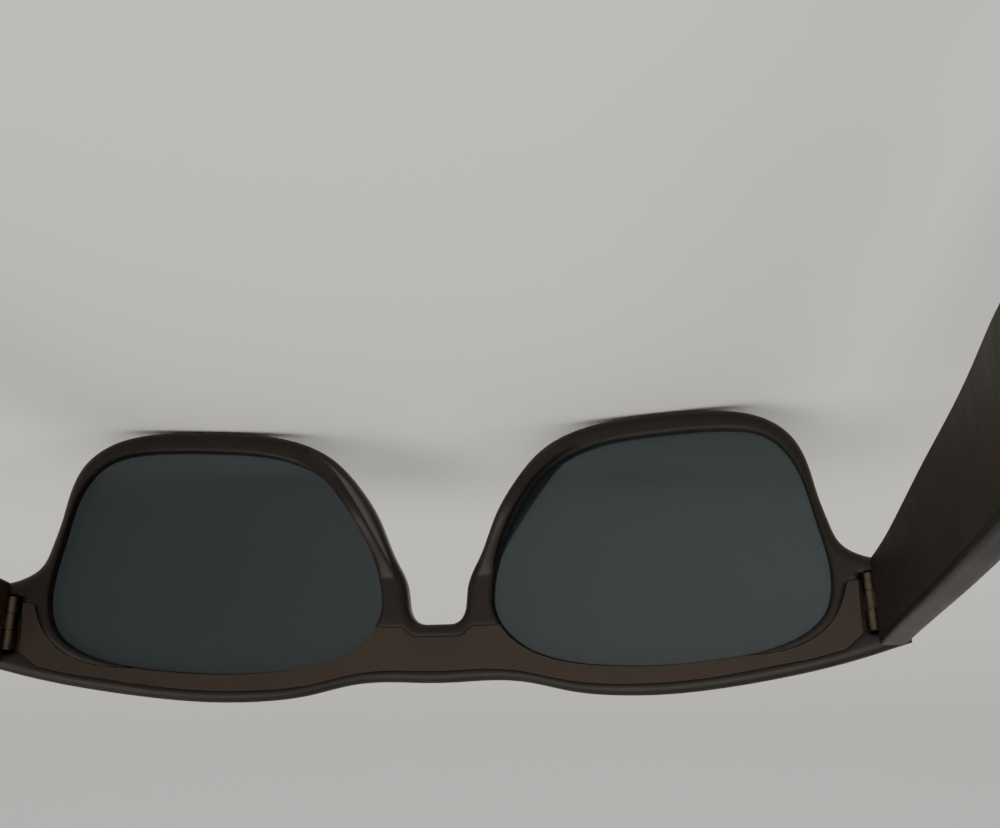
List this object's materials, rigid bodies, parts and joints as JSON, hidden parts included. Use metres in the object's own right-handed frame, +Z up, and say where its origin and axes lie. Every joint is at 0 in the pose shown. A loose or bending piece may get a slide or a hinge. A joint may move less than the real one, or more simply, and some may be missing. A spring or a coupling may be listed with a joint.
{
  "type": "smart glasses",
  "caption": "Wraparound black smart glasses with dark lenses, thick folding temples holding open-ear speakers, and press keys on their lower edges.",
  "frame": {"origin": "middle of the open glasses' bounding box, on the plane that the rims and temple tips rest on", "axes": "+Z up as worn, +Y towards the wearer's ears, +X to the wearer's left"},
  "size_m": [0.149, 0.1558, 0.0461],
  "materials": {
    "frame_plastic": "satin black moulded plastic, smooth, softly polished edges",
    "cover_plastic": "satin black moulded plastic with a fine grain",
    "lens": "dark grey tint, glossy, almost neutral",
    "temple_plastic": "satin black moulded plastic",
    "temple_inner_plastic": "satin black moulded plastic, brushed by wear",
    "hinge_metal": "bright turned steel, slightly worn",
    "screw_metal": "plain steel",
    "flex_circuit": "amber polyimide film",
    "battery_foil": "silver pouch foil",
    "speaker_plastic": "black plastic",
    "speaker_mesh": "black fine woven mesh",
    "microphone_can": "plain metal can",
    "core_wire": "plain wire",
    "circuit_board": "green solder mask",
    "port_metal": "satin steel shell",
    "status_light": "milky light guide",
    "button_plastic": "satin black plastic key"
  },
  "bodies": {
    "front": {"front_frame": "frame_plastic", "brow_cover": "cover_plastic", "brow_flex": "flex_circuit", "lens_left": "lens", "lens_right": "lens", "hinge_leaf_front_left": "hinge_metal", "hinge_leaf_front_right": "hinge_metal", "front_leaf_screws_left": "screw_metal", "front_leaf_screws_right": "screw_metal", "hinge_pin_left": "hinge_metal", "hinge_pin_right": "hinge_metal", "hinge_flex_left": "flex_circuit", "hinge_flex_right": "flex_circuit"},
    "temple_left": {"temple_shell_left": "temple_plastic", "temple_cover_left": "temple_inner_plastic", "hinge_leaf_temple_left": "hinge_metal", "temple_leaf_screws_left": "screw_metal", "battery_left": "battery_foil", "speaker_left": "speaker_plastic", "speaker_mesh_left": "speaker_mesh", "microphone_left": "microphone_can", "core_wire_left": "core_wire", "side_board": "circuit_board"},
    "temple_right": {"temple_shell_right": "temple_plastic", "temple_cover_right": "temple_inner_plastic", "hinge_leaf_temple_right": "hinge_metal", "temple_leaf_screws_right": "screw_metal", "battery_right": "battery_foil", "speaker_right": "speaker_plastic", "speaker_mesh_right": "speaker_mesh", "microphone_right": "microphone_can", "core_wire_right": "core_wire", "main_board": "circuit_board", "charge_port": "port_metal", "status_light": "status_light"},
    "volume_up_button": {"volume_up_button": "button_plastic"},
    "volume_down_button": {"volume_down_button": "button_plastic"},
    "power_button": {"power_button": "button_plastic"}
  },
  "joints": [
    {"name": "left_temple_hinge", "type": "hinge", "parent": "front", "child": "temple_left", "pos_m": [0.069, -0.0585, 0.03356], "axis": [0, 0, 1], "range_deg": [0, 88], "deforming": ["hinge_flex_left"]},
    {"name": "right_temple_hinge", "type": "hinge", "parent": "front", "child": "temple_right", "pos_m": [-0.069, -0.0585, 0.03356], "axis": [0, 0, -1], "range_deg": [0, 76], "deforming": ["hinge_flex_right"]},
    {"name": "volume_up_button_press", "type": "slide", "parent": "temple_left", "child": "volume_up_button", "axis": [-0.0043, 0.1447, 0.9895], "range_m": [0, 0.00035], "stiffness_N_per_m": 400},
    {"name": "volume_down_button_press", "type": "slide", "parent": "temple_left", "child": "volume_down_button", "axis": [-0.0043, 0.1447, 0.9895], "range_m": [0, 0.00035], "stiffness_N_per_m": 400},
    {"name": "power_button_press", "type": "slide", "parent": "temple_right", "child": "power_button", "axis": [0.0043, 0.1447, 0.9895], "range_m": [0, 0.00035], "stiffness_N_per_m": 400}
  ]
}
